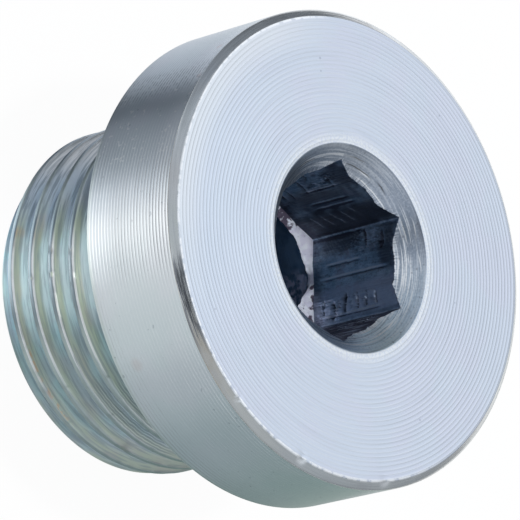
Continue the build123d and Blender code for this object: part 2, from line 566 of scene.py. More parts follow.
def arc(centre_radius, centre_height, size, first, last, steps):
    """Points on an arc of the half section, from one angle to another in degrees, 0 pointing outwards."""
    turns = [radians(first + (last - first) * step / steps) for step in range(steps + 1)]
    return [(centre_radius + size * cos(turn), centre_height + size * sin(turn)) for turn in turns]


def far_nicks():
    """A few small nicks on the crests of the far side."""
    random = Random(NICK_SEED)
    nicks = []
    for _ in range(FAR_NICKS):
        angle = random.uniform(*FAR_ANGLES)
        height = CREST_HEIGHT_AT_X + PITCH * (random.randint(*FAR_TURNS) + angle / 360)
        nicks.append((angle, CREST_RADIUS, height, random.uniform(*FAR_SIZES), random.uniform(*FAR_DEPTHS)))
    return nicks


def nicked(points, wear_and_painted_light, nicks):
    """Presses each nick into the points: bright round it on the collar, and dark in it on the thread."""
    points, wear_and_painted_light = points.copy(), wear_and_painted_light.copy()
    for angle, radius, height, size, depth in nicks:
        outwards = np.array((cos(radians(angle)), sin(radians(angle)), 0))
        away = np.linalg.norm(points - radius * outwards - (0, 0, height), axis=1) / size
        press = np.exp(-away ** 2)
        points -= depth * press[:, None] * outwards
        if height > SEALING_FACE:
            points[:, 2] -= NICK_TILT * depth * press
            wear_and_painted_light += 1.2 * np.exp(-(away - 1) ** 2 * 6)
        else:
            wear_and_painted_light -= 0.9 * press
    return points, wear_and_painted_light


def build_plug(materials):
    skin = Skin()
    relief_floor = threaded_shank(skin, THREAD_SLOT)

    # Flat end of the shank
    inner = skin.ring(END_RINGS[0], 0)
    skin.cap(inner, 0, END_SLOT, opens=True)
    skin.rings(inner, [(radius, 0) for radius in END_RINGS[1:]], END_SLOT)

    # Relief, sealing face and the collar's side
    fillet = arc(RELIEF_RADIUS + RELIEF_FILLET, SEALING_FACE - RELIEF_FILLET, RELIEF_FILLET, 180, 90, 8)
    under = skin.rings(relief_floor, fillet, THREAD_SLOT)
    under = skin.rings(under, [(UNDER_RING, SEALING_FACE)], SIDE_SLOT)
    rim = skin.bridge(under, skin.ring(UNDER_RIM, SEALING_FACE, RIM_COLUMNS), SIDE_SLOT)
    side = [(COLLAR_RADIUS - inwards, SEALING_FACE + up) for inwards, up in REAR_EDGE]
    rim = skin.rings(rim, side + [(COLLAR_RADIUS, BEVEL_FOOT - 0.05)], SIDE_SLOT, RIM_COLUMNS)

    # Bevel and face
    for profile, slot in ((BEVEL, BEVEL_SLOT), (FACE_RIM, FACE_SLOT)):
        points = [(COLLAR_RADIUS - inwards, BEVEL_FOOT + up) for inwards, up in profile]
        rim = skin.rings(rim, points, slot, RIM_COLUMNS)
    face = skin.bridge(rim, skin.ring(FACE_RINGS[0], LENGTH), FACE_SLOT)
    face = skin.rings(face, [(radius, LENGTH) for radius in FACE_RINGS[1:]], FACE_SLOT)
    face = skin.rings(face, [(MOUTH_RADIUS + out, LENGTH + up) for out, up in MOUTH_EDGE], FACE_SLOT)

    socket(skin, face)
    body = skin.object("plug_body", materials, [*EDGE_NICKS, *CREST_NICKS, *far_nicks()])
    clean(body)
    return body


MERGE_DISTANCE = 5e-7
SHARP_ANGLE = radians(32)


def clean(piece):
    """Joins points that coincide, drops the ones that no face uses and marks the sharp edges."""
    made = bmesh.new()
    made.from_mesh(piece.data)
    bmesh.ops.remove_doubles(made, verts=made.verts, dist=MERGE_DISTANCE)
    loose = [point for point in made.verts if not point.link_faces]
    bmesh.ops.delete(made, geom=loose, context="VERTS")
    made.to_mesh(piece.data)
    made.free()
    piece.data.shade_smooth()
    piece.data.set_sharp_from_angle(angle=SHARP_ANGLE)


# ---- materials

class Shader:
    """A material or world being built from nodes. A value is a number, a tuple or another node's output."""

    def __init__(self, owner):
        owner.use_nodes = True
        self.owner = owner
        self.nodes = owner.node_tree.nodes
        self.links = owner.node_tree.links
        self.nodes.clear()

    def add(self, kind, values, output=0, **settings):
        node = self.nodes.new("ShaderNode" + kind)
        for name, setting in settings.items():
            setattr(node, name, setting)
        for inlet, value in values.items():
            if isinstance(value, bpy.types.NodeSocket):
                self.links.new(value, node.inputs[inlet])
            else:
                node.inputs[inlet].default_value = value
        return node.outputs[output] if len(node.outputs) else None

    def math(self, operation, *values, clamp=False):
        return self.add("Math", dict(enumerate(values)), operation=operation, use_clamp=clamp)

    def line(self, value, slope, start):
        return self.math("MULTIPLY_ADD", value, slope, start)

    def times(self, product, *values):
        for value in values:
            product = self.math("MULTIPLY", product, value)
        return product

    def vector(self, operation, *values, output=0):
        return self.add("VectorMath", dict(enumerate(values)), output, operation=operation)

    def step(self, value, low, high, bottom=0.0, top=1.0):
        """Runs smoothly from bottom to top while the value goes from low to high."""
        values = {0: value, 1: low, 2: high, 3: bottom, 4: top}
        return self.add("MapRange", values, interpolation_type="SMOOTHSTEP")

    def mix(self, share, first, second, blend="MIX"):
        """A colour between two others."""
        colours = {6: (*first, 1) if isinstance(first, tuple) else first,
                   7: (*second, 1) if isinstance(second, tuple) else second}
        return self.add("Mix", {0: share, **colours}, 2, data_type="RGBA", blend_type=blend)

    def paint(self, colour, *coats):
        """Lays coats over a colour: what a coat's strength is the product of, and then its own colour."""
        for *strengths, coat in coats:
            colour = self.mix(self.times(*strengths), colour, coat)
        return colour

    def noise(self, place, scale, detail=2.0, roughness=0.5):
        """Noise about 0.5, mostly from 0.3 to 0.7."""
        values = {"Vector": place, "Scale": scale, "Detail": detail, "Roughness": roughness}
        return self.add("TexNoise", values, noise_dimensions="3D")


class Surface(Shader):
    """A new material that knows each point's place in the part's frame: radius, angle and height."""

    def __init__(self, name):
        super().__init__(bpy.data.materials.new(name))
        metres = self.add("TexCoord", {}, 3)
        self.place = self.add("VectorMath", {0: metres, "Scale": 1 / MM}, operation="SCALE")
        x, y, self.height = self.add("SeparateXYZ", {0: self.place}).node.outputs
        self.radius = self.vector("LENGTH", self.vector("MULTIPLY", self.place, (1, 1, 0)), output=1)
        self.angle = self.math("DEGREES", self.math("ARCTAN2", y, x))

    def wear_and_painted_light(self):
        """The mesh's wear and painted light: burrs, bright edges and painted highlights, then torn hollows
        and painted shade, each from 0 to 1.
        """
        value = self.add("Attribute", {}, 2, attribute_name="wear_and_painted_light")
        return self.math("ADD", value, 0.0, clamp=True), self.math("MULTIPLY", value, -1.0, clamp=True)

    def patches(self, scale, low=0.4, high=0.6, detail=2.0):
        """Noise cut to soft-edged patches, 0 outside and 1 inside."""
        return self.step(self.noise(self.place, scale, detail), low, high)

    def sector(self, begins, whole, fades, ends):
        """1 over a part of the way round and 0 past it, by the four angles where that changes."""
        return self.times(self.step(self.angle, begins, whole), self.step(self.angle, ends, fades))

    def around(self, tones):
        """A colour that changes round the axis, from a list of angles and their colours."""
        ramp = self.nodes.new("ShaderNodeValToRGB")
        self.links.new(self.line(self.angle, 1 / 360, 0.5), ramp.inputs[0])
        points = ramp.color_ramp.elements
        while len(points) < len(tones):
            points.new(0.5)
        for point, (angle, tone) in zip(points, tones):
            point.position = (angle + 180) / 360
            point.color = (*tone, 1)
        ramp.color_ramp.interpolation = "EASE"
        return ramp.outputs[0]

    def streaks(self, along, fine, coarse, detail=3.0, lift=0.0):
        """Noise drawn out round the axis: fine across the tool's path and coarse along it."""
        turn = self.math("RADIANS", self.angle)
        x, y = self.math("COSINE", turn), self.math("SINE", turn)
        values = (self.times(along, fine), self.times(x, coarse), self.line(y, coarse, lift))
        return self.noise(self.add("CombineXYZ", dict(enumerate(values))), 1.0, detail)

    def feed_marks(self, along, feed):
        """The shallow round-bottomed groove that a turning tool leaves, one feed a turn, from 0 to 1."""
        turns = self.line(self.angle, 1 / 360, self.math("DIVIDE", along, feed))
        return self.math("POWER", self.line(self.math("FRACT", turns), 2.0, -1.0), 2.0)

    def burnished(self):
        """Where the edge between face and bevel has been rubbed bright."""
        return self.times(self.patches(3.0, 0.36, 0.50), self.sector(-176, -165, 10, 40))

    def apart(self, first, second):
        return self.math("ABSOLUTE", self.math("SUBTRACT", first, second))

    def mark(self, across, middle, width, first, last):
        """A soft line at one value of across, from one angle to another."""
        line = self.step(self.apart(across, middle), width, width * SOFT_CORE)
        return self.times(line, self.sector(first, first + MARK_TAPER, last - MARK_TAPER, last))

    def spot(self, angle, radius, height, size):
        """A soft round patch about one point."""
        middle = (radius * cos(radians(angle)), radius * sin(radians(angle)), height)
        return self.step(self.vector("DISTANCE", self.place, middle, output=1), size, size * SOFT_CORE)

    def metal(self, colour, roughness, *bumps, metallic=1.0):
        """Finishes the material. A bump is a height from 0 to 1 and its depth in millimetres."""
        normal = {}
        for height, depth in bumps:
            normal = {"Normal": self.add("Bump", {"Height": height, "Distance": depth * MM, **normal})}
        values = {"Base Color": colour, "Metallic": metallic, "Roughness": roughness, **normal}
        self.add("OutputMaterial", {0: self.add("BsdfPrincipled", values)})
        return self.owner


WHITE = (1.0, 1.0, 1.0)
TURNING_FEED = 0.2215
COUNTERSINK_FEED = 0.16
# Soft marks are whole inside this share of their width, and taper over this angle at their ends.
SOFT_CORE = 0.3
MARK_TAPER = 8

FACE_TINTS = ((0.662, 0.708, 0.778), (0.672, 0.696, 0.776))
# Dark specks on the face: angle, radius and size
FACE_SPECKS = (
    (-168, 9.50, 0.10), (-167.4, 8.85, 0.08), (29.7, 9.21, 0.09), (77, 7.4, 0.07), (-64, 10.3, 0.07),
    (141, 10.1, 0.08), (-107, 6.6, 0.06))
SPECK_COLOUR = (0.38, 0.40, 0.46)


def face_material():
    """Turned face: fine round grooves from the mouth out to the rim, with rubbed edges."""
    s = Surface("zinc_turned_face")
    grooves = s.feed_marks(s.radius, TURNING_FEED)
    scratch = s.streaks(s.radius, 16.0, 2.0)
    mouth = s.times(s.step(s.radius, 5.95, 5.40), s.line(s.patches(8.0), 0.7, 0.2))
    rim = s.times(s.step(s.radius, 9.6, 11.4), s.sector(-178, -150, -100, -60), 0.6)
    colour = s.paint(
        s.mix(s.patches(0.35), *FACE_TINTS),
        # Painted light: the face is lighter and bluer on one side.
        (s.sector(-160, -110, -80, -40), 0.7, (0.70, 0.765, 0.84)),
        (s.step(grooves, 0.0, 1.0), 0.5, (0.80, 0.83, 0.86)),
        (s.step(scratch, 0.45, 0.7), 0.35, (0.55, 0.59, 0.66)),
        (s.math("MAXIMUM", rim, mouth), (0.84, 0.85, 0.84)),
        (s.step(s.radius, 11.46, 11.56), s.burnished(), WHITE))
    for speck_angle, out, size in FACE_SPECKS:
        colour = s.paint(colour, (s.spot(speck_angle, out, LENGTH, size), 0.6, SPECK_COLOUR))
    return s.metal(colour, 0.3, (grooves, 0.012), (scratch, 0.006))


SIDE_TINTS = ((0.74, 0.79, 0.82), (0.76, 0.79, 0.83))
SIDE_SHADE = (0.45, 0.50, 0.53)
# Rust and stains on the collar's side: angle, height, size and strength
STAINS = (
    (-56.8, 12.3, 0.5, 0.14), (-138.0, 16.2, 0.25, 0.25), (-126.2, 16.5, 0.22, 0.2),
    (35.0, 13.1, 0.45, 0.2), (124.0, 12.2, 0.4, 0.2))
STAIN_COLOUR = (0.66, 0.36, 0.28)
# Scratches across the collar's side: angle, height, length round it and width
SCRATCHES = (
    (-71.8, 13.25, 2.5, 0.05), (-59.2, 13.9, 2.0, 0.05), (-63.0, 14.6, 1.5, 0.04), (88.0, 14.2, 4.0, 0.05))
SCRATCH_COLOUR = (0.45, 0.50, 0.54)
SCRATCH_SLANT = 0.02618


def side_material():
    """Turned side of the collar: grooves, fine scratches, specks and a few stains, with painted shade,
    painted highlights on the crests of the grooves and painted glints.
    """
    s = Surface("zinc_turned_side")
    grooves = s.feed_marks(s.height, TURNING_FEED)
    scratch = s.streaks(s.height, 16.0, 3.0)
    # Painted light: in these sectors the side is a little darker and the crests of its grooves are painted
    # bright.
    painted_light_zone = s.math("MAXIMUM", s.step(s.angle, -70, -86), s.step(s.angle, 40, 60))
    cut = s.line(s.sector(-129, -121, -116, -107), -0.8, 1.0)
    groove_highlights = s.times(s.step(grooves, 0.2, 1.0), s.line(painted_light_zone, 0.6, 0.3), cut)
    tears_and_shade = s.times(s.sector(-134, -130, -125, -121), s.patches(4.0, 0.40, 0.56))
    # Painted glints: white flecks over one sector.
    painted_glints = s.times(s.sector(-130, -124, -108, -98), s.patches(3.6, 0.66, 0.71, detail=1.0))
    colour = s.paint(
        s.mix(s.patches(0.3), *SIDE_TINTS),
        (painted_light_zone, 0.12, (0.42, 0.46, 0.50)),
        (s.step(s.height, 15.5, 11.5), s.sector(-116, -104, -82, -72), 0.5, SIDE_SHADE),
        # Painted highlight: lighter towards the bevel on this side.
        (s.step(s.height, 15.2, 16.6), s.step(s.angle, -80, -92), 0.4, (0.95, 0.98, 1.0)),
        (s.step(grooves, 0.3, 0.0), s.sector(-110, -102, -94, -88), 0.3, SIDE_SHADE),
        (groove_highlights, (0.92, 0.95, 0.97)),
        (tears_and_shade, s.step(grooves, 0.5, -0.5), 0.9, (0.20, 0.22, 0.25)),
        (painted_glints, 0.7, WHITE))
    for stain_angle, level, size, strength in STAINS:
        colour = s.paint(colour, (s.spot(stain_angle, COLLAR_RADIUS, level, size), strength, STAIN_COLOUR))
    slant = s.line(s.angle, SCRATCH_SLANT, s.height)
    for middle, level, length, width in SCRATCHES:
        line = s.mark(slant, level + SCRATCH_SLANT * middle, width, middle - length, middle + length)
        colour = s.paint(colour, (line, 0.35, SCRATCH_COLOUR))
    colour = s.paint(
        colour,
        (s.patches(3.2, 0.735, 0.77, detail=1.0), 0.5, (0.38, 0.42, 0.46)),
        (s.step(s.height, SEALING_FACE + 0.5, SEALING_FACE), 0.35, (0.60, 0.70, 0.60)),
        (s.step(s.height, SEALING_FACE + 0.01, SEALING_FACE), (0.88, 0.90, 0.91)))
    return s.metal(colour, 0.28, (s.times(grooves, cut), 0.013), (scratch, 0.007))


# Colour of the bevel by angle, painted reflection: the light and dark bands that it mirrors
BEVEL_REFLECTIONS = (
    (-180, (0.90, 0.93, 0.96)), (-153, (0.90, 0.93, 0.96)), (-138, (0.69, 0.73, 0.77)),
    (-128, (0.60, 0.64, 0.69)), (-111, (0.84, 0.88, 0.90)), (-98, (0.57, 0.57, 0.57)),
    (-86, (0.58, 0.60, 0.58)), (-73, (0.82, 0.82, 0.80)), (-55, (0.53, 0.49, 0.42)),
    (-38, (0.61, 0.61, 0.58)), (-8, (0.63, 0.66, 0.67)), (20, (0.80, 0.82, 0.81)),
    (180, (0.90, 0.93, 0.96)))


def bevel_material():
    """Bevel between face and side, with coarse streaks from the tool, and painted reflection: bands by angle
    and dark streaks where it mirrors a dark part of the room.
    """
    s = Surface("zinc_bevel")
    streaks = s.streaks(s.height, 13.0, 5.0)
    rough_cut_and_dark_reflection = s.sector(-82, -76, -62, -54)
    colour = s.paint(
        s.around(BEVEL_REFLECTIONS),
        (s.patches(1.1), 0.3, (0.62, 0.63, 0.64)),
        (s.step(streaks, 0.6, 0.35), 0.2, (0.35, 0.37, 0.40)),
        (s.wear_and_painted_light()[0], (0.92, 0.93, 0.94)),
        (s.step(s.height, LENGTH - 0.05, LENGTH - 0.02), s.burnished(), WHITE),
        # Painted reflection: dark streaks where the bevel mirrors a dark part of the room.
        (rough_cut_and_dark_reflection, s.step(streaks, 0.53, 0.47), 0.75, (0.22, 0.23, 0.25)))
    return s.metal(colour, 0.20, (s.times(streaks, s.line(rough_cut_and_dark_reflection, 0.6, 0.4)), 0.022))


# Colour of the countersink by angle, painted reflection: lighter where it mirrors brighter light
SINK_REFLECTIONS = (
    (-180, (0.38, 0.42, 0.48)), (-120, (0.50, 0.58, 0.66)), (0, (0.60, 0.74, 0.88)),
    (24, (0.78, 0.94, 1.0)), (60, (0.57, 0.70, 0.83)), (80, (0.44, 0.51, 0.59)), (98, (0.34, 0.38, 0.45)),
    (145, (0.39, 0.43, 0.50)), (180, (0.38, 0.42, 0.48)))
# Single tool marks on the countersink: first angle and radius, last angle and radius, half width and tone
SINK_MARKS = (
    (126, 4.27, 164, 4.24, 0.035, 1.0), (100, 4.63, 121, 4.62, 0.035, 1.0),
    (103, 5.00, 119, 5.02, 0.03, 0.9), (74, 4.24, 99, 4.24, 0.055, 1.0), (87, 4.64, 99, 4.61, 0.03, 1.0),
    (83, 5.08, 99, 4.94, 0.03, 0.9), (16, 4.44, 36, 4.61, 0.03, 1.0), (34, 4.61, 56, 4.77, 0.03, 1.0),
    (53, 4.77, 72, 4.73, 0.03, 1.0), (28, 4.41, 60, 4.70, 0.03, 1.0), (38, 4.43, 56, 4.73, 0.03, 1.0),
    (2, 4.75, 36, 4.80, 0.03, 0.9), (-130, 4.60, -95, 4.55, 0.04, 1.0), (-60, 4.80, -20, 4.72, 0.03, 1.0),
    (150, 4.54, 178, 4.52, 0.03, 0.2), (135, 4.55, 150, 4.62, 0.035, 0.15),
    (150, 4.49, 166, 4.48, 0.03, 1.0), (160, 4.86, 178, 4.82, 0.03, 0.3),
    (-160, 4.70, -120, 4.78, 0.03, 0.3))
# Marks that end before this angle are bluish, with this share of red.
COOL_BEFORE = 80
COOL_RED = 0.86


def tool_mark(s, radius, first, inner, last, outer, width, tone):
    """A coat for one mark that slants from a first angle and radius to a last one."""
    slope = (outer - inner) / (last - first)
    red = COOL_RED if last < COOL_BEFORE else 1.0
    line = s.mark(s.line(s.angle, -slope, radius), inner - slope * first, width, first, last)
    return line, (red * tone, (red + 1) / 2 * tone, tone)


def sink_material():
    """Countersink: smooth outside, with finer round tool marks and single scratches further in, on a colour
    by angle that paints in its reflection.
    """
    s = Surface("zinc_countersink")
    streaks = s.streaks(s.radius, 7.0, 1.4)
    lines = s.streaks(s.radius, 19.0, 1.6, lift=7.0)
    grain = s.noise(s.place, 9.0, 3.0)
    cut = s.step(s.angle, 130, 112, 0.35, 1.0)
    strength = s.line(s.times(s.step(s.radius, 5.05, 4.70), s.step(s.angle, 128, 112)), 0.7, 0.25)
    colour = s.paint(
        s.around(SINK_REFLECTIONS),
        (s.patches(0.9), 0.15, (0.66, 0.69, 0.76)),
        (s.step(streaks, 0.50, 0.66), cut, 0.4, (0.80, 0.87, 0.95)),
        (s.step(streaks, 0.46, 0.30), cut, 0.5, (0.22, 0.27, 0.34)),
        (s.step(lines, 0.50, 0.60), strength, WHITE),
        (s.step(lines, 0.46, 0.36), strength, 0.7, (0.24, 0.29, 0.36)),
        (s.step(grain, 0.50, 0.64), 0.18, (0.92, 0.95, 1.0)),
        (s.step(grain, 0.48, 0.34), 0.25, (0.28, 0.33, 0.40)))
    wandering = s.math("ADD", s.radius, s.line(s.noise(s.place, 2.0), 0.08, -0.04))
    for mark in SINK_MARKS:
        colour = s.paint(colour, tool_mark(s, wandering, *mark))
    burrs_and_highlights, tears_and_shade = s.wear_and_painted_light()
    colour = s.paint(
        colour,
        (s.step(s.radius, 5.16, 5.21), s.step(s.angle, 90, 105), 0.5, (0.30, 0.33, 0.38)),
        (s.patches(5.0, 0.68, 0.74, detail=1.0), 0.6, (0.25, 0.27, 0.31)),
        (burrs_and_highlights, (0.95, 0.96, 1.0)),
        (tears_and_shade, (0.14, 0.17, 0.22)))
    feed = s.feed_marks(s.radius, COUNTERSINK_FEED)
    return s.metal(colour, 0.3, (feed, 0.003), (streaks, 0.010), (lines, 0.006))


FLANK_GREENS = ((0.57, 0.65, 0.48), (0.62, 0.59, 0.49))
ROOT_BLUES = ((0.56, 0.78, 0.85), (0.56, 0.66, 0.76))
# Painted reflection: slate blue over the top of the thread.
SLATE_REFLECTION = (0.63, 0.73, 0.84)
OLIVE = (0.47, 0.53, 0.43)
CREST_COLOURS = ((0.48, 0.55, 0.54), (0.20, 0.25, 0.28))
# Painted reflection: the crest's colour where the top of the thread is painted near white.
PALE_REFLECTION_CREST = (0.56, 0.62, 0.66)
# The painted highlight, a bright line just above the crest's edge: its colour, and its place in turns above
# the crest
CREST_HIGHLIGHT_COLOUR = (1.0, 1.0, 0.97)
CREST_HIGHLIGHT_RISE = 0.103
# Rust on the thread: angle, height, size and strength, then a line of it along the first groove, by its
# place in turns above the crest at +X, half its width and where it begins and ends
THREAD_RUST = (
    (-104.7, 1.75, 0.5, 0.8), (-101, 3.2, 0.45, 0.55), (-104, 4.6, 0.35, 0.5), (62, 4.4, 0.6, 0.4),
    (148, 6.9, 0.5, 0.4))
RUST_COLOUR = (0.70, 0.47, 0.28)
RUST_RADIUS = CREST_RADIUS - 0.3
RUST_RUN = (1.13, 0.05, -70, -34)
TORN_SPACING = 0.11


def thread_material():
    """Thread: a painted highlight as a bright line along the crest, flanks in the tints of the passivation,
    drawn out along them, and painted reflection and light in some sectors.
    """
    s = Surface("zinc_thread")
    streaks = s.streaks(s.radius, 11.0, 4.0, lift=s.times(s.height, 0.8))
    # Turns above the crest at +X, so whole numbers on the crest itself, and turns above the next one down
    turns = s.line(s.angle, -1 / 360, s.line(s.height, 1 / PITCH, -CREST_HEIGHT_AT_X / PITCH))
    above = s.math("WRAP", turns, 1.0, 0.0)
    front = s.sector(-118, -104, -78, -62)
    # Painted reflection: slate blue over the top of the thread, and near white at the far end of it.
    slate_reflection = s.sector(-178, -168, -120, -98)
    pale_reflection = s.times(slate_reflection, s.step(s.angle, -122, -138))

    wavering = s.math("ADD", s.radius, s.line(s.noise(s.place, 0.55), 0.5, -0.25))
    blue = s.mix(s.patches(0.60, 0.40, 0.58), *ROOT_BLUES)
    green = s.mix(s.patches(0.45, 0.42, 0.60), *FLANK_GREENS)
    colour = s.paint(
        s.mix(s.step(wavering, 8.35, 8.70), blue, green),
        (slate_reflection, 0.85, SLATE_REFLECTION),
        (pale_reflection, 0.9, WHITE))
    for rust_angle, level, size, strength in THREAD_RUST:
        colour = s.paint(colour, (s.spot(rust_angle, RUST_RADIUS, level, size), strength, RUST_COLOUR))
    # Painted light: the deep part of the flank in front is painted bright.
    painted_light_zone = s.times(s.step(above, 0.20, 0.28), s.step(s.angle, -112, -98), s.step(s.height, 1.2, 2.4, 0.1))
    beside_lip = s.times(s.step(above, 0.115, 0.135), s.step(above, 0.26, 0.17), s.step(s.angle, -116, -98))
    run = s.times(s.mark(turns, *RUST_RUN), s.patches(2.5, 0.42, 0.58))
    drawn = s.times(s.step(streaks, 0.55, 0.40), s.line(s.math("SUBTRACT", slate_reflection, pale_reflection), 0.3, 0.4))
    torn_lines = s.feed_marks(s.line(s.noise(s.place, 1.6), 0.12, s.radius), TORN_SPACING)
    torn_zone = s.times(s.step(turns, 2.5, 2.8), s.sector(-50, -42, -16, -4))
    # Painted highlight: a thin bright line just above the crest, in front.
    lip = s.times(s.step(s.apart(above, CREST_HIGHLIGHT_RISE), 0.034, 0.014), s.sector(-104, -94, -66, -44))
    crest = s.mix(pale_reflection, s.mix(front, *CREST_COLOURS), PALE_REFLECTION_CREST)
    burrs_and_highlights, tears_and_shade = s.wear_and_painted_light()
    colour = s.paint(
        colour,
        (s.sector(-78, -58, 30, 60), 0.5, (0.59, 0.66, 0.64)),
        (painted_light_zone, front, 0.8, (0.86, 0.97, 0.97)),
        (beside_lip, s.step(s.angle, -60, -78, 0.4), 0.85, OLIVE),
        (run, 0.8, RUST_COLOUR),
        (drawn, (0.25, 0.31, 0.36)),
        (s.step(torn_lines, 0.40, 0.05), torn_zone, 0.6, (0.30, 0.36, 0.38)),
        (s.step(torn_lines, 0.50, 0.95), torn_zone, 0.6, (0.80, 0.88, 0.88)),
        (s.step(s.radius, CREST_RADIUS - 0.06, CREST_RADIUS - 0.02), crest),
        (lip, s.step(streaks, 0.30, 0.42), CREST_HIGHLIGHT_COLOUR),
        (tears_and_shade, 0.5, (0.22, 0.24, 0.26)),
        (burrs_and_highlights, 0.1, (0.92, 0.93, 0.92)))
    return s.metal(colour, 0.34, (streaks, 0.012))


# The wall's blues are painted darker than the zinc outside: painted shade down in the socket.
WALL_SHADED_BLUES = ((0.31, 0.45, 0.60), (0.48, 0.62, 0.78))
# Darker and lighter tones down the socket's wall by angle, painted shade on the darkest flats and painted
# light on the lightest: first and last angle, share and colour
WALL_TONES = (
    (0, 62, 0.85, (0.15, 0.12, 0.16)), (58, 88, 0.66, (0.66, 0.72, 0.90)),
    (118, 144, 0.85, (0.08, 0.10, 0.13)), (138, 180, 0.4, (0.12, 0.19, 0.26)),
    (-178, -140, 0.5, (0.24, 0.17, 0.23)), (-98, -76, 0.4, (0.64, 0.68, 0.86)),
    (-60, -36, 0.6, (0.12, 0.14, 0.20)))
WALL_TONE_TAPER = 7


def wall_material():
    """Broached wall: painted dark for the shade in the socket, with bright burrs, torn hollows and the
    painted highlights and shade of its wear.
    """
    s = Surface("zinc_broached_wall")
    crystals = s.noise(s.vector("MULTIPLY", s.place, (6, 6, 3.5)), 1.0, 4.0, 0.7)
    grain = s.noise(s.vector("MULTIPLY", s.place, (9, 9, 2)), 1.0, 3.0)
    colour = s.paint(
        s.mix(s.patches(0.9, 0.38, 0.62), *WALL_SHADED_BLUES),
        (s.step(crystals, 0.50, 0.66), 0.55, (0.66, 0.80, 0.94)),
        (s.step(crystals, 0.48, 0.34), 0.60, (0.12, 0.16, 0.22)),
        (s.patches(1.6, 0.56, 0.70), 0.4, (0.30, 0.24, 0.31)))
    for first, last, share, tone in WALL_TONES:
        wall_tone = s.sector(first, first + WALL_TONE_TAPER, last - WALL_TONE_TAPER, last)
        colour = s.paint(colour, (wall_tone, share, tone))
    # The wear carries painted highlights and painted shade as well as burrs and torn hollows.
    burrs_and_highlights, tears_and_shade = s.wear_and_painted_light()
    colour = s.paint(colour, (burrs_and_highlights, (0.72, 0.78, 0.88)), (tears_and_shade, (0.06, 0.07, 0.10)))
    return s.metal(colour, 0.42, (grain, 0.02), (crystals, 0.03))


SHELF_TINTS = ((0.78, 0.77, 0.90), (0.90, 0.92, 1.0))


def shelf_material():
    """Torn shelf of chips: pale crystalline metal with dark broken bits."""
    s = Surface("zinc_torn_shelf")
    chips = s.noise(s.place, 3.4, 3.0)
    whole = s.sector(84, 100, 130, 139)
    half_whole = s.times(s.sector(30, 60, 84, 100), s.step(s.radius, 3.9, 4.1, 0.25, 0.05))
    broken = s.step(s.math("SUBTRACT", chips, s.line(whole, 0.28, half_whole)), 0.40, 0.50)
    colour = s.paint(s.mix(s.patches(2.0), *SHELF_TINTS), (broken, (0.10, 0.08, 0.12)))
    return s.metal(colour, 0.5, (chips, 0.06), metallic=0.25)


# The hole is painted dark blue: painted shade down in it.
HOLE_SHADED_TINTS = ((0.17, 0.25, 0.34), (0.26, 0.34, 0.43))


def hole_material():
    """Drilled hole below the shelf, painted dark for the shade in it, with the drill's rings and a few bright
    bits of debris.
    """
    s = Surface("zinc_drilled_hole")
    debris = (s.sector(60, 76, 96, 106), s.patches(2.2), (0.95, 0.82, 0.88))
    colour = s.paint(s.mix(s.patches(1.0), *HOLE_SHADED_TINTS), debris)
    return s.metal(colour, 0.4, (s.streaks(s.height, 5.0, 1.0), 0.02))


END_TINTS = ((0.70, 0.75, 0.80), (0.72, 0.73, 0.78))


def end_material():
    """Turned end of the shank."""
    s = Surface("zinc_turned_end")
    colour = s.mix(s.patches(0.4), *END_TINTS)
    feed = s.feed_marks(s.radius, TURNING_FEED)
    return s.metal(colour, 0.32, (feed, 0.007), (s.streaks(s.radius, 16.0, 2.0), 0.005))


# ---- camera, floor and light

AIM = Vector((0.535, -3.149, 13.784)) * MM
CAMERA_AZIMUTH = -70.575
CAMERA_ELEVATION = 44.402
CAMERA_ROLL = 75.45
CAMERA_DISTANCE = 267.48 * MM
CLIP_START = 10 * MM
FOCAL_LENGTH = 377.65
SENSOR = 36


def direction(azimuth, elevation):
    azimuth, elevation = radians(azimuth), radians(elevation)
    return Vector((cos(azimuth) * cos(elevation), sin(azimuth) * cos(elevation), sin(elevation)))


def make_camera():
    data = bpy.data.cameras.new("camera")
    data.sensor_width = SENSOR
    data.lens = FOCAL_LENGTH
    data.clip_start = CLIP_START
    camera = add_object("camera", data)
    away = direction(CAMERA_AZIMUTH, CAMERA_ELEVATION) * CAMERA_DISTANCE
    camera.matrix_world = Matrix.Translation(AIM + away)
    turns = ((CAMERA_AZIMUTH + 90, "Z"), (90 - CAMERA_ELEVATION, "X"), (CAMERA_ROLL, "Z"))
    for turn, axis in turns:
        camera.matrix_world @= Matrix.Rotation(radians(turn), 4, axis)
    bpy.context.scene.camera = camera


def square_sheet(name, half, height, material):
    """A flat sheet that isn't part of the object, sizes in millimetres."""
    mesh = bpy.data.meshes.new(name)
    corners = [(-half, -half, height), (half, -half, height), (half, half, height), (-half, half, height)]
    mesh.from_pydata([Vector(corner) * MM for corner in corners], [], [(0, 1, 2, 3)])
    mesh.materials.append(material)
    sheet = add_object(name, mesh)
    return sheet


FLOOR_HALF = 1000
FLOOR_HEIGHT = -0.02
FLOOR_GREY = 0.9
# How much of the floor's look is plain white, and the radii and share over which it dims
FLOOR_LIFT = 0.96
POOL_INNER = 70
POOL_OUTER = 160
POOL_EDGE = 0.25


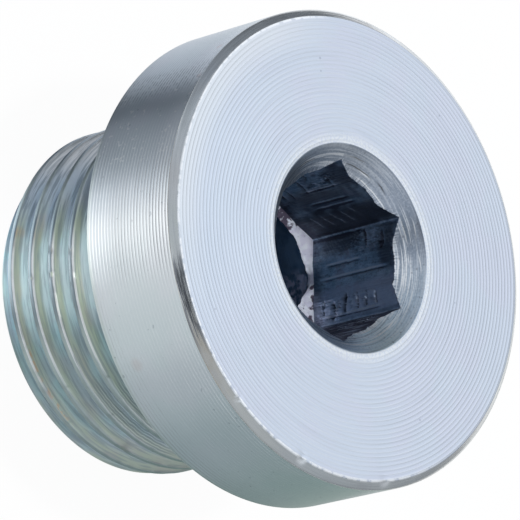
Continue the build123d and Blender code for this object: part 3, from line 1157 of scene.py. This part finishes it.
def make_floor():
    """A white floor, less bright in the distance. It shows white to the camera and keeps a faint shadow."""
    s = Surface("floor_white")
    rays = s.nodes.new("ShaderNodeLightPath").outputs
    pool = s.step(s.radius, POOL_OUTER, POOL_INNER, POOL_EDGE, 1.0)
    mirrored = s.math("MAXIMUM", rays["Is Glossy Ray"], rays["Is Transmission Ray"])
    seen = s.math("MAXIMUM", rays["Is Camera Ray"], s.times(mirrored, pool))
    grey = s.times(pool, FLOOR_GREY)
    paint = s.add("BsdfDiffuse", {0: s.add("CombineXYZ", {0: grey, 1: grey, 2: grey})})
    white = s.add("Emission", {0: (*WHITE, 1), 1: 1.0})
    lifted = s.add("MixShader", {0: s.times(seen, FLOOR_LIFT), 1: paint, 2: white})
    s.add("OutputMaterial", {0: lifted})
    square_sheet("floor", FLOOR_HALF, FLOOR_HEIGHT, s.owner)


CARD_HALF = 75
CARD_FADE = 60
CARD_HEIGHT = 0.05
# The card is brighter in front, from strength to strength over a span of radii, and below the thread.
FRONT_SECTOR = (-136, -116, -88, -76)
FRONT_REACH = (26, 45)
FRONT_STRENGTHS = (1.36, 0.3)
THREAD_REACH = (15.5, 12.5)
THREAD_GLOW = 1.15
# Tone of the card, by the direction it lies in, in degrees from +X
CARD_TONES = (
    (-180, (0.60, 0.65, 0.72)), (-168, (0.46, 0.51, 0.58)), (-148, (0.078, 0.094, 0.114)),
    (-140, (0.215, 0.24, 0.275)), (-124, (0.295, 0.33, 0.365)), (-118, (0.415, 0.45, 0.487)),
    (-112, (0.69, 0.73, 0.77)), (-99, (1.0, 1.0, 1.0)), (-84, (0.74, 0.77, 0.78)),
    (-58, (0.62, 0.67, 0.68)), (-38, (0.44, 0.49, 0.51)), (-11, (0.30, 0.36, 0.375)),
    (26, (0.245, 0.32, 0.31)), (50, (0.33, 0.40, 0.37)), (64, (0.74, 0.76, 0.76)),
    (150, (0.86, 0.90, 0.94)), (180, (0.60, 0.65, 0.72)))


def make_card():
    """A toned card round the plug, out of the camera's sight, for the collar and thread to reflect."""
    s = Surface("card_toned")
    front = s.sector(*FRONT_SECTOR)
    extra = s.math("SUBTRACT", s.step(s.radius, *FRONT_REACH, *FRONT_STRENGTHS), 1.0)
    close = s.times(front, s.step(s.radius, *THREAD_REACH))
    strength = s.times(s.line(extra, front, 1.0), s.line(close, THREAD_GLOW, 1.0))
    glow = s.add("Emission", {0: s.around(CARD_TONES), 1: strength})
    clear = s.add("BsdfTransparent", {})
    faded = s.step(s.radius, CARD_FADE, CARD_HALF)
    s.add("OutputMaterial", {0: s.add("MixShader", {0: faded, 1: glow, 2: clear})})
    card = square_sheet("card", CARD_HALF, CARD_HEIGHT, s.owner)
    card.visible_camera = False
    card.visible_diffuse = False
    card.visible_shadow = False


# The room gets lighter with height. A lobe is a direction, azimuth and elevation, then the angles from it
# where the lobe is whole and where it ends. A shade also has a strength.
ROOM_LOW = (0.26, 0.28, 0.31)
ROOM_HIGH = (0.47, 0.50, 0.53)
ROOM_RISE = (-0.1, 0.55)
WINDOW = ((135, 58), 14, 52)
WINDOW_COLOUR = (0.50, 0.53, 0.59)
FRONT_LIGHT = ((-70, 38), 20, 95)
FRONT_COLOUR = (0.16, 0.18, 0.21)
SHADE_COLOUR = (0.05, 0.06, 0.07)
SHADES = (
    ((-67, 61), 7, 14, 0.95), ((-72, 46), 3, 10, 0.6), ((-172, 40), 6, 30, 0.5), ((155, 10), 8, 36, 0.7))
TOP_LIGHT = 1.3
TOP_LIGHT_ANGLE = 6


def make_room():
    """The light from each direction: a room, a window, a front light and shades, each a soft lobe."""
    world = bpy.data.worlds.new("studio")
    bpy.context.scene.world = world
    s = Shader(world)
    towards = s.vector("NORMALIZE", s.add("TexCoord", {}, 0))
    up = s.add("SeparateXYZ", {0: towards}, 2)

    def lobe(where, inner, outer):
        facing = s.vector("DOT_PRODUCT", towards, direction(*where), output=1)
        return s.step(facing, cos(radians(outer)), cos(radians(inner)))

    light = s.mix(s.step(up, *ROOM_RISE), ROOM_LOW, ROOM_HIGH)
    light = s.mix(lobe(*WINDOW), light, WINDOW_COLOUR, blend="ADD")
    light = s.mix(lobe(*FRONT_LIGHT), light, FRONT_COLOUR, blend="ADD")
    for *where, strength in SHADES:
        light = s.paint(light, (lobe(*where), strength, SHADE_COLOUR))
    s.add("OutputWorld", {0: s.add("Background", {0: light, 1: 1.0})})


def make_top_light():
    """A lamp overhead, which reaches down into the socket."""
    lamp = bpy.data.lights.new("top_light", "SUN")
    lamp.energy = TOP_LIGHT
    lamp.angle = radians(TOP_LIGHT_ANGLE)
    add_object("top_light", lamp).visible_glossy = False


make_camera()
make_floor()
make_card()
make_room()
make_top_light()
materials = [end_material(), thread_material(), side_material(), bevel_material(), face_material(),
             sink_material(), wall_material(), shelf_material(), hole_material()]
plug = build_plug(materials)
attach(plug, "root")
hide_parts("plug")

bpy.context.scene.view_settings.view_transform = "Standard"
